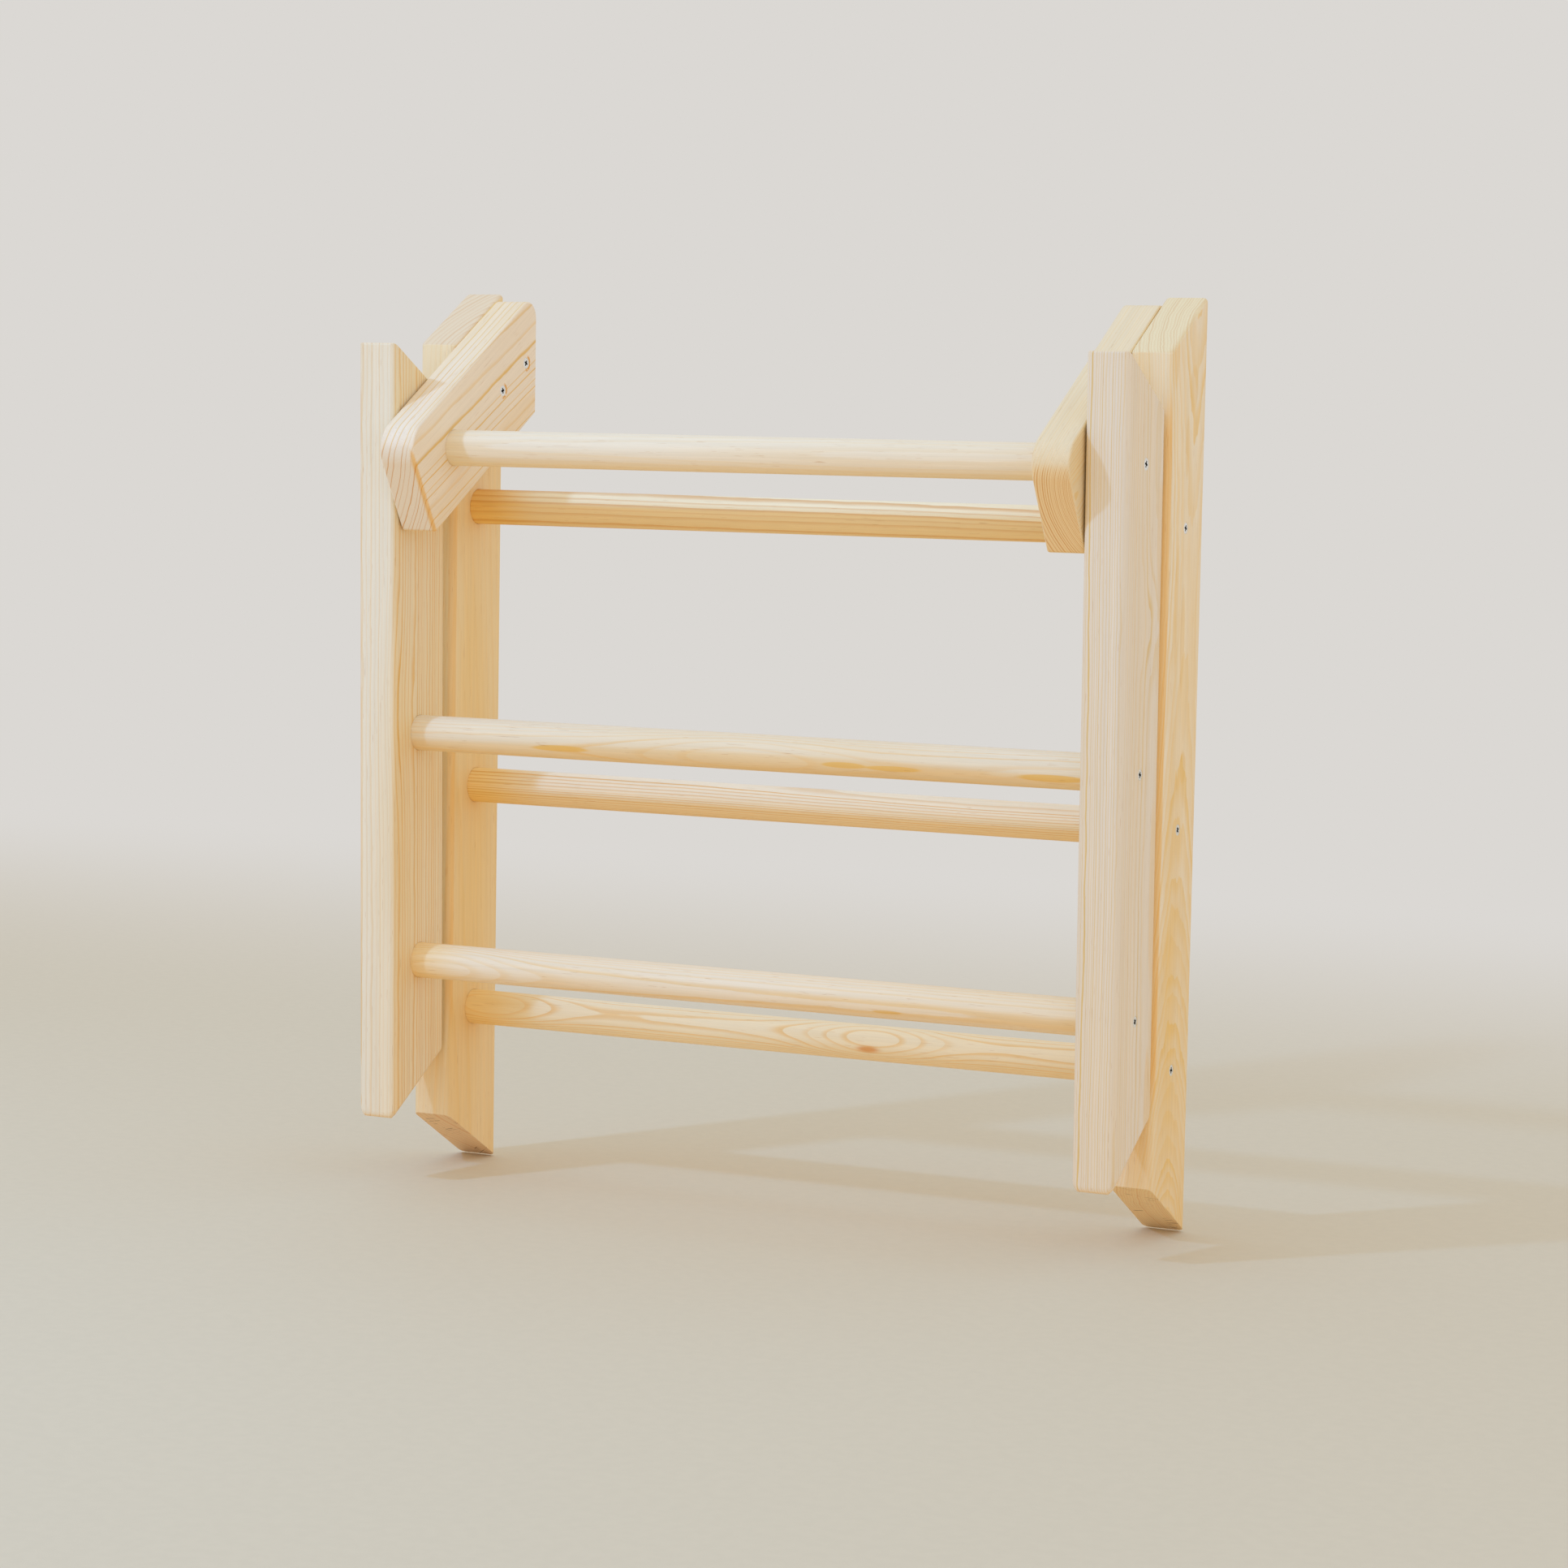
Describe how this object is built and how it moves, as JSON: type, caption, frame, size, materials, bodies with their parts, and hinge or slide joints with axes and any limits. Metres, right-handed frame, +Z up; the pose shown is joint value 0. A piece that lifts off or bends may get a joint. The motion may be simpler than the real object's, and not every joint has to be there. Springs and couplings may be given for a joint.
{
  "type": "folding climbing triangle",
  "caption": "Folding wooden climbing triangle: two ladder frames of boards and round rungs that hinge at the top rung and fold flat against each other.",
  "frame": {"origin": "on the floor, under the middle of the folded object's box", "axes": "+X along the rungs to the right seen from the front, +Y to the back, +Z up along the rear uprights"},
  "size_m": [0.7342, 0.2208, 0.8117],
  "materials": {
    "pine_board": "planed, unfinished softwood",
    "pine_rung": "sanded, unfinished softwood",
    "zinc_steel": "bright zinc plate"
  },
  "bodies": {
    "rear_frame": {"rear_upright_left": "pine_board", "rear_upright_right": "pine_board", "link_board_left": "pine_board", "link_board_right": "pine_board", "top_rung": "pine_rung", "rear_rung_upper": "pine_rung", "rear_rung_middle": "pine_rung", "rear_rung_lower": "pine_rung", "rear_rung_screws_left": "zinc_steel", "rear_rung_screws_right": "zinc_steel", "link_board_screws_left": "zinc_steel", "link_board_screws_right": "zinc_steel", "hinge_screw_left": "zinc_steel", "hinge_screw_right": "zinc_steel", "hinge_washer_left": "zinc_steel", "hinge_washer_right": "zinc_steel"},
    "front_frame": {"front_upright_left": "pine_board", "front_upright_right": "pine_board", "front_rung_upper": "pine_rung", "front_rung_lower": "pine_rung", "front_rung_screws_left": "zinc_steel", "front_rung_screws_right": "zinc_steel"}
  },
  "joints": [
    {"name": "front_frame_fold", "type": "hinge", "parent": "rear_frame", "child": "front_frame", "pos_m": [0, -0.0381, 0.67059], "axis": [-1, 0, 0], "range_deg": [-0.6, 60.9]}
  ]
}
